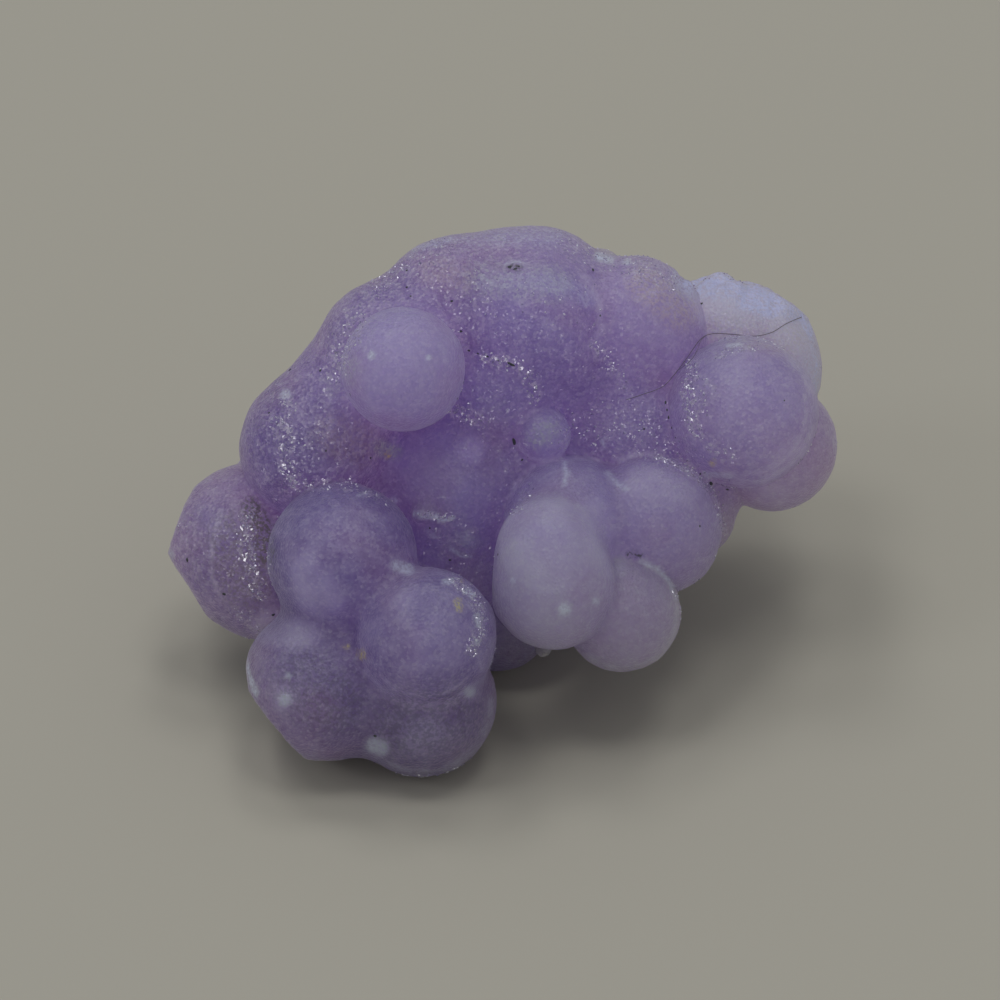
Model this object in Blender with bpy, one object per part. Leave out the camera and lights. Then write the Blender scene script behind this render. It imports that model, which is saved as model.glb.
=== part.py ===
"""Botryoidal chalcedony: one grown piece of purple balls fused together, about 27 x 20 x 17 mm.

It rests as the photograph shows it, on its broken base and the front bunch of balls.
The stone is modelled as balls that melt into one skin, chipped in two places and cut flat where it rests.
"""

from math import cos, radians, sin

import bmesh
import bpy
import numpy as np

MM = 0.001

# The show face is the side that the photograph looks at. It leans back, so its own directions
# (right, up along the face, near to the viewer) are turned by this much into the part's frame.
SHOW_LEAN = radians(40)
SHOW_MIDDLE = np.array([-0.1, -0.95, 8.4])  # mm, where the middle of the show face sits in the frame

GRAIN = 0.25  # mm, grid on which the skin is first laid
SETTLE_STEPS = 3
WANTED_TRIANGLES = 9200

# The stone grew in clumps. Each clump has how softly its balls run together, how softly it meets the
# clumps before it, and its balls. On the show face a ball is (right, up, near, radius), mm from the
# face's middle.
SHOW_CLUMPS = [
    (
        1.3,
        0.4,
        {
            "shoulder": (-4.60, 6.15, -0.1, 2.62),
            "top_left": (-2.00, 7.95, -0.8, 2.60),
            "crest_left": (0.00, 8.55, -1.8, 2.24),
            "crest": (1.80, 8.35, -2.0, 2.60),
            "cap": (1.40, 7.00, -0.2, 2.56),
            "cap_low": (2.40, 5.50, -1.3, 2.20),
            "top_right": (5.45, 7.35, -1.9, 2.48),
            "top_right_low": (5.90, 6.10, -2.2, 2.28),
            "saddle_right": (5.60, 4.40, -2.9, 2.40),
            "saddle_middle": (3.60, 4.00, -2.7, 2.60),
            "saddle_end": (5.80, 2.80, -3.4, 2.20),
            "saddle_left": (-0.10, 4.00, -0.9, 2.40),
            "left": (-7.48, 2.16, -0.5, 2.96),
            "left_top": (-6.00, 4.20, -0.8, 2.36),
            "middle": (-2.00, 0.60, -1.8, 3.00),
            "middle_low": (-1.80, -2.40, -1.9, 2.36),
        },
    ),
    (
        1.0,
        0.3,
        {
            "front_upper": (-6.28, -2.30, 1.9, 3.00),
            "front_corner": (-7.10, -7.30, 1.0, 3.16),
            "front_low": (-3.15, -8.00, 1.0, 3.02),
        },
    ),
    (0, 0.55, {"front_near": (-2.95, -5.45, 3.1, 2.80)}),
    (
        0.5,
        0.25,
        {
            "bunch_top": (2.80, -0.90, 0.1, 2.66),
            "bunch_right": (6.15, -0.88, -0.4, 2.73),
            "bunch_right_low": (6.35, -1.40, -0.5, 2.34),
        },
    ),
    (1.0, 0.60, {"bunch_left": (2.15, -3.50, 2.3, 2.46), "bunch_pale": (1.88, -1.80, 2.5, 1.92)}),
    (0, 0.30, {"bunch_low": (4.88, -4.52, 0.6, 2.34)}),
    (
        0.9,
        0.2,
        {
            "pale_end": (8.90, 6.80, -5.0, 2.28),
            "pale_middle": (10.50, 6.20, -5.2, 2.28),
            "pale_tip": (11.20, 5.00, -4.6, 1.80),
        },
    ),
    (
        0.9,
        0.25,
        {
            "far_left_tip": (-10.75, -1.80, -2.2, 2.75),
            "far_left": (-9.52, -3.00, -2.4, 2.64),
            "left_shelf": (-10.00, -0.40, -2.4, 1.90),
        },
    ),
    (0, 0.25, {"foot": (-0.10, -4.64, -3.9, 2.28)}),
    (0, 0.25, {"behind_bunch": (7.90, -0.65, -3.7, 1.60)}),
    (0, 0.25, {"right_back": (11.00, 2.20, -4.2, 2.64)}),
    (0, 0.15, {"right_ball": (9.72, 3.52, -0.6, 3.04)}),
    (0, 0.15, {"round_ball": (-3.85, 5.20, 2.6, 2.48)}),
    (0, 0.15, {"small_ball": (1.72, 2.60, 0.5, 1.12)}),
    (0, 0.30, {"crest_nub": (4.00, 9.20, -3.0, 0.96)}),
    (0, 0.20, {"bunch_nub": (1.72, -5.95, 1.0, 0.34)}),
    (0, 0.25, {"bead_right": (-1.40, -1.80, 0.3, 0.62)}),
    (0, 0.25, {"bead_left": (-2.50, -1.25, 0.2, 0.55)}),
    (0.4, 0.20, {"ledge_left": (-3.10, -0.55, 0.70, 0.40), "ledge_right": (-2.50, -0.65, 0.65, 0.42)}),
]

# Clumps round the back, sides and underside, with balls as (x, y, z, radius), mm in the frame.
HIDDEN_CLUMPS = [
    (
        0.9,
        0.4,
        {
            "broken_base": (-3.6, 1.8, 2.6, 3.4),
            "broken_base_right": (0.6, 2.6, 2.4, 3.2),
            "broken_base_back": (-1.4, 4.2, 2.5, 3.2),
        },
    ),
    (0, 0.3, {"back_left_high": (-6.3, 3.9, 8.8, 2.7)}),
    (0, 0.3, {"back_high": (-2.9, 6.4, 9.8, 2.8)}),
    (0, 0.3, {"back_crown": (0.9, 7.2, 9.2, 2.7)}),
    (0, 0.3, {"back_right_high": (4.7, 6.8, 9.7, 2.6)}),
    (0, 0.3, {"back_pale": (7.7, 7.2, 8.2, 2.3)}),
    (0, 0.3, {"back_left": (-8.6, 2.6, 5.4, 2.6)}),
    (0, 0.3, {"back_left_low": (-5.6, 5.8, 5.4, 2.8)}),
    (0, 0.3, {"back_middle": (-1.5, 7.4, 5.4, 2.7)}),
    (0, 0.3, {"back_middle_right": (2.8, 7.0, 5.3, 2.6)}),
    (0, 0.3, {"back_right": (6.6, 5.4, 5.9, 2.5)}),
    (0.9, 0.3, {"under_right": (4.8, 2.2, 4.2, 2.4), "under_right_end": (7.6, 2.6, 6.2, 2.2)}),
    (0, 0.3, {"under_left": (-7.6, -0.4, 3.2, 2.5)}),
    (0, 0.3, {"heel_left": (-6.6, 3.2, 2.2, 1.9)}),
    (0, 0.3, {"heel_middle": (-3.9, 6.2, 2.2, 1.9)}),
    (0, 0.3, {"heel_right": (1.9, 6.0, 2.1, 1.9)}),
]

# The mass that the clumps grew on, the same way.
CORE = (
    0.9,
    0.4,
    {
        "core_left": (-5.0, 2.0, 6.2, 4.0),
        "core_middle": (0.0, 3.0, 6.8, 4.8),
        "core_right": (5.4, 3.2, 8.4, 3.6),
        "core_front": (-4.7, -3.6, 4.4, 2.6),
    },
)

# Flat breaks: the way each one faces as (right, up, near), and its distance, mm, from its ball's middle.
CHIPS = {
    "front_corner": [
        ((-0.98, -0.17, -0.10), 2.78),
        ((-0.78, -0.62, -0.10), 2.32),
        ((-0.06, -1.00, -0.10), 2.98),
    ],
    "far_left_tip": [
        ((-0.93, 0.36, -0.10), 2.20),
        ((-0.82, -0.57, -0.15), 2.16),
    ],
}


def to_frame(direction):
    """Turns a (right, up, near) direction of the show face into the part's frame."""
    right, up, near = direction
    away = up * sin(SHOW_LEAN) - near * cos(SHOW_LEAN)
    height = up * cos(SHOW_LEAN) + near * sin(SHOW_LEAN)
    return np.array([right, away, height])


def placed(clump, to_place):
    """A clump with each ball as its middle in the frame, its radius and its chips (facing, distance)."""
    inner, outer, balls = clump
    found = []
    for name, ball in balls.items():
        chips = [(to_frame(facing) / np.linalg.norm(facing), off) for facing, off in CHIPS.get(name, [])]
        found.append((to_place(ball[:3]), ball[3], chips))
    return inner, outer, found


def clumps():
    """Every clump of the stone, from the mass inside to the smallest beads."""
    hidden = [placed(clump, np.array) for clump in [CORE, *HIDDEN_CLUMPS]]
    return hidden + [placed(clump, lambda place: SHOW_MIDDLE + to_frame(place)) for clump in SHOW_CLUMPS]


def melt(a, b, blend):
    """The nearer of two distances, rounded over where they are alike."""
    if not blend:
        return np.minimum(a, b)
    share = np.clip(0.5 + 0.5 * (b - a) / blend, 0, 1)
    return b + (a - b) * share - blend * share * (1 - share)


def skin_distance(points, stone):
    """How far each point is outside the stone's skin, mm."""
    whole = None
    for inner, outer, balls in stone:
        clump = None
        for centre, radius, chips in balls:
            ball = np.linalg.norm(points - centre, axis=1) - radius
            for facing, off in chips:
                ball = np.maximum(ball, (points - centre) @ facing - off)
            clump = ball if clump is None else melt(clump, ball, inner)
        whole = clump if whole is None else melt(whole, clump, outer)
    return whole


def settle(points, stone):
    """Moves points onto the stone's skin."""
    step = 0.02
    for _ in range(SETTLE_STEPS):
        distance = skin_distance(points, stone)
        slope = np.stack(
            [skin_distance(points + step * axis, stone) - distance for axis in np.eye(3)], axis=1
        ) / step
        points = points - distance[:, None] * slope / np.maximum((slope**2).sum(1), 0.5)[:, None]
    return points


def mesh_with(modifiers, mesh):
    """The mesh that a stack of modifiers makes from another one."""
    helper = bpy.data.objects.new("helper", mesh)
    bpy.context.scene.collection.objects.link(helper)
    for kind, settings in modifiers:
        modifier = helper.modifiers.new(kind.title(), kind)
        for setting, value in settings.items():
            setattr(modifier, setting, value)
    graph = bpy.context.evaluated_depsgraph_get()
    made = bpy.data.meshes.new_from_object(helper.evaluated_get(graph))
    bpy.data.objects.remove(helper)
    return made


def lay_balls(stone):
    """All the balls as overlapping spheres in one mesh, metres."""
    bm = bmesh.new()
    for _, _, balls in stone:
        for centre, radius, _ in balls:
            made = bmesh.ops.create_icosphere(bm, subdivisions=3, radius=radius * MM)
            bmesh.ops.translate(bm, verts=made["verts"], vec=centre * MM)
    mesh = bpy.data.meshes.new("balls")
    bm.to_mesh(mesh)
    bm.free()
    return mesh


def settled(mesh, stone):
    points = np.empty(len(mesh.vertices) * 3)
    mesh.vertices.foreach_get("co", points)
    points = settle(points.reshape(-1, 3) / MM, stone) * MM
    mesh.vertices.foreach_set("co", points.ravel())
    return mesh


def grow_skin(stone):
    """One closed skin round all the balls, with its creases and chips, metres."""
    mesh = mesh_with([("REMESH", {"mode": "VOXEL", "voxel_size": GRAIN * MM})], lay_balls(stone))
    mesh = mesh_with([("SMOOTH", {"factor": 0.5, "iterations": 3})], settled(mesh, stone))
    mesh = mesh_with([("SMOOTH", {"factor": 0.5, "iterations": 1})], settled(mesh, stone))
    ratio = WANTED_TRIANGLES / (2 * len(mesh.polygons))
    return mesh_with([("DECIMATE", {"ratio": ratio})], mesh)


def cut_base(mesh):
    """Cuts the stone off flat at z = 0, where it rests."""
    bm = bmesh.new()
    bm.from_mesh(mesh)
    everything = [*bm.verts, *bm.edges, *bm.faces]
    bmesh.ops.bisect_plane(
        bm, geom=everything, plane_co=(0, 0, 0), plane_no=(0, 0, -1), dist=1e-6, clear_outer=True
    )
    rim = [edge for edge in bm.edges if edge.is_boundary]
    bmesh.ops.triangle_fill(bm, use_beauty=True, edges=rim)
    bmesh.ops.recalc_face_normals(bm, faces=bm.faces)
    bm.to_mesh(mesh)
    bm.free()


def chalcedony_material():
    material = bpy.data.materials.new("purple_chalcedony")
    material.use_nodes = True
    shader = material.node_tree.nodes["Principled BSDF"]
    shader.inputs["Base Color"].default_value = (0.30, 0.20, 0.34, 1)
    shader.inputs["Roughness"].default_value = 0.4
    shader.inputs["Metallic"].default_value = 0
    return material


def main():
    for old in list(bpy.data.objects):
        bpy.data.objects.remove(old)
    mesh = grow_skin(clumps())
    cut_base(mesh)
    mesh.name = "chalcedony_cluster"
    mesh.shade_smooth()
    mesh.materials.clear()
    mesh.materials.append(chalcedony_material())
    stone = bpy.data.objects.new("chalcedony_cluster", mesh)
    bpy.context.scene.collection.objects.link(stone)


main()
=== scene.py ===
"""A rough specimen of botryoidal chalcedony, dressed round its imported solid.

Sizes are in millimetres until MM turns them into metres. The show face is the side that the camera
looks at: its own directions are right, up along the face, and near to the viewer.
"""

import math

import bmesh
import bpy
import numpy as np
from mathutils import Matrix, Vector, noise
from mathutils.bvhtree import BVHTree


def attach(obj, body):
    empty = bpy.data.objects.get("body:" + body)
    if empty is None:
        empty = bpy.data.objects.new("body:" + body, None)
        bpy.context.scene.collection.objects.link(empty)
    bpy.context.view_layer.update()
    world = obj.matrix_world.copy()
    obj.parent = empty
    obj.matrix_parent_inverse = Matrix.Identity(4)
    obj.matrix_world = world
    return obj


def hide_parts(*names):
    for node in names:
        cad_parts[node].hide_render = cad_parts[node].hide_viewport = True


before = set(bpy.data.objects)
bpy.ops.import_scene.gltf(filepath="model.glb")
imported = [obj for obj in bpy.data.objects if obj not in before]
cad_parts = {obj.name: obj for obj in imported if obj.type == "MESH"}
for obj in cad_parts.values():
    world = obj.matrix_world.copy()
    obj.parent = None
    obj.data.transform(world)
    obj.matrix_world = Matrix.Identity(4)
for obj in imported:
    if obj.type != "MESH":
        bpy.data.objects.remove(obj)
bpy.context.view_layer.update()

# The stone
# One piece of chalcedony, fibrous quartz that grew outwards as balls from many seeds until they met.
# It broke off its rock underneath, and two of its balls on the left are chipped.

MM = 0.001
# The show face is seen from this far above level. Its middle is a place in the frame.
SHOW_LEAN = math.radians(40)
SHOW_MIDDLE = np.array([-0.1, -0.95, 8.4])
SKIN_GRID = 0.160

# The stone grew in clumps. Each clump has how softly its balls run together, how softly it meets the
# clumps before it, and its balls. On the show face a ball is (right, up, near, radius), mm from the
# face's middle.
SHOW_CLUMPS = [
    (
        1.3,
        0.4,
        {
            "shoulder": (-4.60, 6.15, -0.1, 2.62),
            "top_left": (-2.00, 7.95, -0.8, 2.60),
            "crest_left": (0.00, 8.55, -1.8, 2.24),
            "crest": (1.80, 8.35, -2.0, 2.60),
            "cap": (1.40, 7.00, -0.2, 2.56),
            "cap_low": (2.40, 5.50, -1.3, 2.20),
            "top_right": (5.45, 7.35, -1.9, 2.48),
            "top_right_low": (5.90, 6.10, -2.2, 2.28),
            "saddle_right": (5.60, 4.40, -2.9, 2.40),
            "saddle_middle": (3.60, 4.00, -2.7, 2.60),
            "saddle_end": (5.80, 2.80, -3.4, 2.20),
            "saddle_left": (-0.10, 4.00, -0.9, 2.40),
            "left": (-7.48, 2.16, -0.5, 2.96),
            "left_top": (-6.00, 4.20, -0.8, 2.36),
            "middle": (-2.00, 0.60, -1.8, 3.00),
            "middle_low": (-1.80, -2.40, -1.9, 2.36),
        },
    ),
    (
        1.0,
        0.3,
        {
            "front_upper": (-6.28, -2.30, 1.9, 3.00),
            "front_corner": (-7.10, -7.30, 1.0, 3.16),
            "front_low": (-3.15, -8.00, 1.0, 3.02),
        },
    ),
    (0, 0.55, {"front_near": (-2.95, -5.45, 3.1, 2.80)}),
    (
        0.5,
        0.25,
        {
            "bunch_top": (2.80, -0.90, 0.1, 2.66),
            "bunch_right": (6.15, -0.88, -0.4, 2.73),
            "bunch_right_low": (6.35, -1.40, -0.5, 2.34),
        },
    ),
    (1.0, 0.60, {"bunch_left": (2.15, -3.50, 2.3, 2.46), "bunch_pale": (1.88, -1.80, 2.5, 1.92)}),
    (0, 0.30, {"bunch_low": (4.88, -4.52, 0.6, 2.34)}),
    (
        0.9,
        0.2,
        {
            "pale_end": (8.90, 6.80, -5.0, 2.28),
            "pale_middle": (10.50, 6.20, -5.2, 2.28),
            "pale_tip": (11.20, 5.00, -4.6, 1.80),
        },
    ),
    (
        0.9,
        0.25,
        {
            "far_left_tip": (-10.75, -1.80, -2.2, 2.75),
            "far_left": (-9.52, -3.00, -2.4, 2.64),
            "left_shelf": (-10.00, -0.40, -2.4, 1.90),
        },
    ),
    (0, 0.25, {"foot": (-0.10, -4.64, -3.9, 2.28)}),
    (0, 0.25, {"behind_bunch": (7.90, -0.65, -3.7, 1.60)}),
    (0, 0.25, {"right_back": (11.00, 2.20, -4.2, 2.64)}),
    (0, 0.15, {"right_ball": (9.72, 3.52, -0.6, 3.04)}),
    (0, 0.15, {"round_ball": (-3.85, 5.20, 2.6, 2.48)}),
    (0, 0.15, {"small_ball": (1.72, 2.60, 0.5, 1.12)}),
    (0, 0.30, {"crest_nub": (4.00, 9.20, -3.0, 0.96)}),
    (0, 0.20, {"bunch_nub": (1.72, -5.95, 1.0, 0.34)}),
    (0, 0.25, {"bead_right": (-1.40, -1.80, 0.3, 0.62)}),
    (0, 0.25, {"bead_left": (-2.50, -1.25, 0.2, 0.55)}),
    (0.4, 0.20, {"ledge_left": (-3.10, -0.55, 0.70, 0.40), "ledge_right": (-2.50, -0.65, 0.65, 0.42)}),
]

# Clumps round the back, sides and underside, with balls as (x, y, z, radius), mm in the frame.
HIDDEN_CLUMPS = [
    (
        0.9,
        0.4,
        {
            "broken_base": (-3.6, 1.8, 2.6, 3.4),
            "broken_base_right": (0.6, 2.6, 2.4, 3.2),
            "broken_base_back": (-1.4, 4.2, 2.5, 3.2),
        },
    ),
    (0, 0.3, {"back_left_high": (-6.3, 3.9, 8.8, 2.7)}),
    (0, 0.3, {"back_high": (-2.9, 6.4, 9.8, 2.8)}),
    (0, 0.3, {"back_crown": (0.9, 7.2, 9.2, 2.7)}),
    (0, 0.3, {"back_right_high": (4.7, 6.8, 9.7, 2.6)}),
    (0, 0.3, {"back_pale": (7.7, 7.2, 8.2, 2.3)}),
    (0, 0.3, {"back_left": (-8.6, 2.6, 5.4, 2.6)}),
    (0, 0.3, {"back_left_low": (-5.6, 5.8, 5.4, 2.8)}),
    (0, 0.3, {"back_middle": (-1.5, 7.4, 5.4, 2.7)}),
    (0, 0.3, {"back_middle_right": (2.8, 7.0, 5.3, 2.6)}),
    (0, 0.3, {"back_right": (6.6, 5.4, 5.9, 2.5)}),
    (0.9, 0.3, {"under_right": (4.8, 2.2, 4.2, 2.4), "under_right_end": (7.6, 2.6, 6.2, 2.2)}),
    (0, 0.3, {"under_left": (-7.6, -0.4, 3.2, 2.5)}),
    (0, 0.3, {"heel_left": (-6.6, 3.2, 2.2, 1.9)}),
    (0, 0.3, {"heel_middle": (-3.9, 6.2, 2.2, 1.9)}),
    (0, 0.3, {"heel_right": (1.9, 6.0, 2.1, 1.9)}),
]

# The mass that the clumps grew on, the same way.
CORE = (
    0.9,
    0.4,
    {
        "core_left": (-5.0, 2.0, 6.2, 4.0),
        "core_middle": (0.0, 3.0, 6.8, 4.8),
        "core_right": (5.4, 3.2, 8.4, 3.6),
        "core_front": (-4.7, -3.6, 4.4, 2.6),
    },
)

# Flat breaks: the way each one faces as (right, up, near), and its distance, mm, from its ball's middle.
CHIPS = {
    "front_corner": [
        ((-0.98, -0.17, -0.10), 2.78),
        ((-0.78, -0.62, -0.10), 2.32),
        ((-0.06, -1.00, -0.10), 2.98),
    ],
    "far_left_tip": [
        ((-0.93, 0.36, -0.10), 2.20),
        ((-0.82, -0.57, -0.15), 2.16),
    ],
}

SHOW_AXES = np.array(
    [
        (1, 0, 0),
        (0, math.sin(SHOW_LEAN), math.cos(SHOW_LEAN)),
        (0, -math.cos(SHOW_LEAN), math.sin(SHOW_LEAN)),
    ]
)


def to_frame(direction):
    """Turns a (right, up, near) direction of the show face into the part's frame."""
    return np.asarray(direction, float) @ SHOW_AXES


def to_show(points):
    """Points in the frame as (right, up, near) of the show face."""
    return (points - SHOW_MIDDLE) @ SHOW_AXES.T


def placed(clump, to_place):
    """A clump with each ball as its name, its middle in the frame, its radius and its chips."""
    inner, outer, balls = clump
    found = []
    for name, ball in balls.items():
        chips = [(to_frame(facing) / np.linalg.norm(facing), off) for facing, off in CHIPS.get(name, [])]
        found.append((name, to_place(ball[:3]), ball[3], chips))
    return inner, outer, found


def clumps():
    """Every clump of the stone, from the mass inside to the smallest beads."""
    hidden = [placed(clump, np.array) for clump in [CORE, *HIDDEN_CLUMPS]]
    return hidden + [placed(clump, lambda place: SHOW_MIDDLE + to_frame(place)) for clump in SHOW_CLUMPS]


def melt(a, b, blend):
    """The nearer of two distances, rounded over where they are alike."""
    if not blend:
        return np.minimum(a, b)
    share = np.clip(0.5 + 0.5 * (b - a) / blend, 0, 1)
    return b + (a - b) * share - blend * share * (1 - share)


def ball_distance(points, centre, radius, chips):
    """How far each point is outside one ball and its chips."""
    ball = np.linalg.norm(points - centre, axis=1) - radius
    for facing, off in chips:
        ball = np.maximum(ball, (points - centre) @ facing - off)
    return ball


def skin_distance(points, stone):
    """How far each point is outside the stone's skin, which is cut flat where it rests."""
    whole = None
    for inner, outer, balls in stone:
        clump = None
        for _, centre, radius, chips in balls:
            ball = ball_distance(points, centre, radius, chips)
            clump = ball if clump is None else melt(clump, ball, inner)
        whole = clump if whole is None else melt(whole, clump, outer)
    return np.maximum(whole, -points[:, 2])


def slope_of(points, stone, distance):
    """Which way, and how steeply, the distance to the skin grows at each point."""
    step = 0.02
    return np.stack([skin_distance(points + step * axis, stone) - distance for axis in np.eye(3)], 1) / step


def settle(points, stone, steps):
    """Moves points onto the stone's skin."""
    for _ in range(steps):
        distance = skin_distance(points, stone)
        slope = slope_of(points, stone, distance)
        points = points - distance[:, None] * slope / np.maximum((slope**2).sum(1), 0.5)[:, None]
    return points


def mesh_with(mesh, kind, **settings):
    """The mesh that one modifier makes from another one."""
    helper = bpy.data.objects.new("helper", mesh)
    bpy.context.scene.collection.objects.link(helper)
    modifier = helper.modifiers.new(kind.title(), kind)
    for setting, value in settings.items():
        setattr(modifier, setting, value)
    graph = bpy.context.evaluated_depsgraph_get()
    made = bpy.data.meshes.new_from_object(helper.evaluated_get(graph))
    bpy.data.objects.remove(helper)
    return made


def points_of(mesh):
    """A mesh's points in millimetres."""
    points = np.empty(len(mesh.vertices) * 3)
    mesh.vertices.foreach_get("co", points)
    return points.reshape(-1, 3) / MM


def put_points(mesh, points):
    mesh.vertices.foreach_set("co", (points * MM).ravel())
    mesh.update()


def lay_balls(stone):
    """All the balls as overlapping spheres in one mesh, none reaching below the surface it rests on."""
    bm = bmesh.new()
    for _, _, balls in stone:
        for _, centre, radius, _ in balls:
            made = bmesh.ops.create_icosphere(bm, subdivisions=3, radius=radius * MM)
            bmesh.ops.translate(bm, verts=made["verts"], vec=centre * MM)
    for vert in bm.verts:
        vert.co.z = max(vert.co.z, 0)
    mesh = bpy.data.meshes.new("balls")
    bm.to_mesh(mesh)
    bm.free()
    return mesh


def ripples(points, size, seed):
    """Smooth noise from -1 to 1 at each point, with bumps about this many millimetres apart."""
    shift = Vector((seed * 17.3, seed * 5.9, seed * 31.1))
    return np.array([noise.noise(Vector(point) / size + shift) for point in points])


def near_line(flat, path):
    """How far each (right, up) point is from a line of such points."""
    best = np.full(len(flat), 1e9)
    ends = path if len(path) > 1 else path * 2
    for start, end in zip(ends, ends[1:]):
        start, along = np.array(start), np.array(end) - np.array(start)
        share = np.clip((flat - start) @ along / max(along @ along, 1e-9), 0, 1)
        best = np.minimum(best, np.linalg.norm(flat - start - share[:, None] * along, axis=1))
    return best


def marked(flat, marks):
    """How strongly each (right, up) point is marked, from marks of (path, half width, strength)."""
    weight = np.zeros(len(flat))
    for path, half_width, strength in marks:
        share = np.clip(1.5 - near_line(flat, path) / half_width, 0, 1)
        weight = np.maximum(weight, strength * share * share * (3 - 2 * share))
    return weight


# How much paler, how much pinker and how much more sugary than the rest each ball is, all 0 to 1.
# Part of the paleness is painted light: balls low in the hollows, such as middle and bunch_top, are made
# paler to lift the shade they sit in.
BALL_TONES = {
    "round_ball": (0.63, 0.05, 0.02),
    "small_ball": (0.72, 0.05, 0.12),
    "shoulder": (0.08, 0.12, 0.32),
    "top_left": (0.08, 0.14, 0.34),
    "crest_left": (0.31, 0.06, 0.35),
    "crest": (0.31, 0.00, 0.30),
    "cap": (0.29, 0.00, 0.14),
    "cap_low": (0.20, 0.10, 0.12),
    "top_right": (0.45, 0.32, 0.08),
    "top_right_low": (0.58, 0.65, 0.08),
    "pale_end": (1.00, 0.60, 0.10),
    "pale_middle": (1.00, 0.60, 0.10),
    "pale_tip": (1.00, 0.50, 0.10),
    "right_ball": (0.40, 0.25, 0.10),
    "right_back": (0.28, 0.45, 0.03),
    "left": (0.00, 0.10, 0.20),
    "left_top": (0.22, 0.20, 0.35),
    "left_shelf": (0.00, 0.15, 0.18),
    "far_left": (0.00, 0.05, 0.12),
    "far_left_tip": (0.00, 0.00, 0.12),
    "front_upper": (0.10, 0.10, 0.05),
    "front_near": (0.06, 0.15, 0.04),
    "front_corner": (0.00, 0.40, 0.05),
    "front_low": (0.00, 0.70, 0.04),
    "bunch_pale": (0.60, 0.10, 0.01),
    "bunch_left": (0.82, 0.85, 0.01),
    "bunch_top": (0.56, 0.05, 0.06),
    "bunch_right": (0.66, 0.20, 0.04),
    "bunch_right_low": (0.58, 0.40, 0.03),
    "bunch_low": (0.56, 0.90, 0.01),
    "behind_bunch": (0.40, 0.60, 0.08),
    "foot": (0.31, 0.70, 0.05),
    "bead_right": (0.48, 0.10, 0.20),
    "middle": (0.77, 0.00, 0.08),
    "middle_low": (0.72, 0.15, 0.08),
    "saddle_left": (0.40, 0.10, 0.14),
    "saddle_middle": (0.44, 0.45, 0.14),
    "saddle_right": (0.48, 0.60, 0.20),
    "saddle_end": (0.44, 0.40, 0.28),
}
OTHER_TONE = (0.44, 0.40, 0.14)


def arc(right, up, radius, first, last):
    """A path round part of a circle on the show face, with its ends in degrees."""
    turns = np.radians(np.linspace(first, last, 13))
    return [(right + radius * math.cos(turn), up + radius * math.sin(turn)) for turn in turns]


# Marks on the show face, each as (path of (right, up) points, half width, strength).
# Pale spots and streaks. Some are bruises in the skin. Others are painted glints: the line along the ledge,
# the streak on bunch_top, the dashes on right_ball's top and the blotches down front_near's right side.
BRUISES_AND_GLINTS = [
    ([(-5.08, 5.72)], 0.15, 0.9),
    ([(-2.80, 5.64)], 0.10, 0.6),
    ([(-8.56, 4.20)], 0.20, 0.7),
    ([(-8.52, -7.92)], 0.22, 1.0),
    ([(-8.40, -6.96)], 0.12, 0.7),
    ([(-1.20, -7.60)], 0.20, 1.0),
    ([(-5.00, -9.75), (-4.75, -9.85)], 0.30, 0.9),
    ([(-4.10, -2.60), (-3.60, -2.75)], 0.22, 0.6),
    ([(2.56, -4.32)], 0.22, 0.9),
    ([(3.80, -4.00)], 0.16, 0.5),
    ([(0.52, -3.20)], 0.12, 0.5),
    ([(2.55, 1.50), (2.66, 1.10), (2.58, 0.60)], 0.09, 0.55),
    ([(4.30, 1.05), (4.60, 0.70), (5.05, 0.45)], 0.12, 0.45),
    ([(5.64, -2.44), (6.20, -2.72), (6.72, -3.20), (7.08, -3.95)], 0.08, 0.60),
    ([(4.00, 9.78), (4.40, 9.70)], 0.20, 1.0),
    ([(0.20, 9.42), (0.60, 9.52), (0.90, 9.44)], 0.07, 0.5),
    ([(5.10, 9.55)], 0.14, 0.8),
    ([(8.20, 1.05), (9.20, 0.95)], 0.10, 0.4),
    ([(-10.32, -5.60), (-10.04, -6.88), (-9.68, -7.68)], 0.12, 0.8),
    ([(-3.42, -0.52), (-3.05, -0.66), (-2.75, -0.60), (-2.40, -0.80), (-1.95, -0.74)], 0.08, 1.0),
    ([(-2.90, -1.20), (-2.60, -1.50)], 0.08, 0.4),
    ([(-1.95, -1.90), (-1.60, -2.20), (-1.20, -2.25)], 0.07, 0.6),
    ([(4.12, 2.48), (4.10, 1.60)], 0.04, 0.5),
    ([(-13.2, -2.20)], 0.15, 0.5),
    ([(-2.16, -3.24), (-1.90, -3.20)], 0.11, 0.7),
    ([(-1.28, -3.60), (-1.12, -3.72)], 0.13, 0.8),
    ([(-0.90, -4.60), (-0.84, -4.90)], 0.12, 0.8),
    ([(-0.92, -5.60)], 0.12, 0.7),
    ([(9.05, 6.15), (9.60, 6.22)], 0.07, 0.7),
    ([(-5.60, 0.20), (-5.20, 0.28)], 0.07, 0.5),
    ([(-4.40, 0.05), (-4.10, -0.05)], 0.07, 0.5),
]
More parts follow.
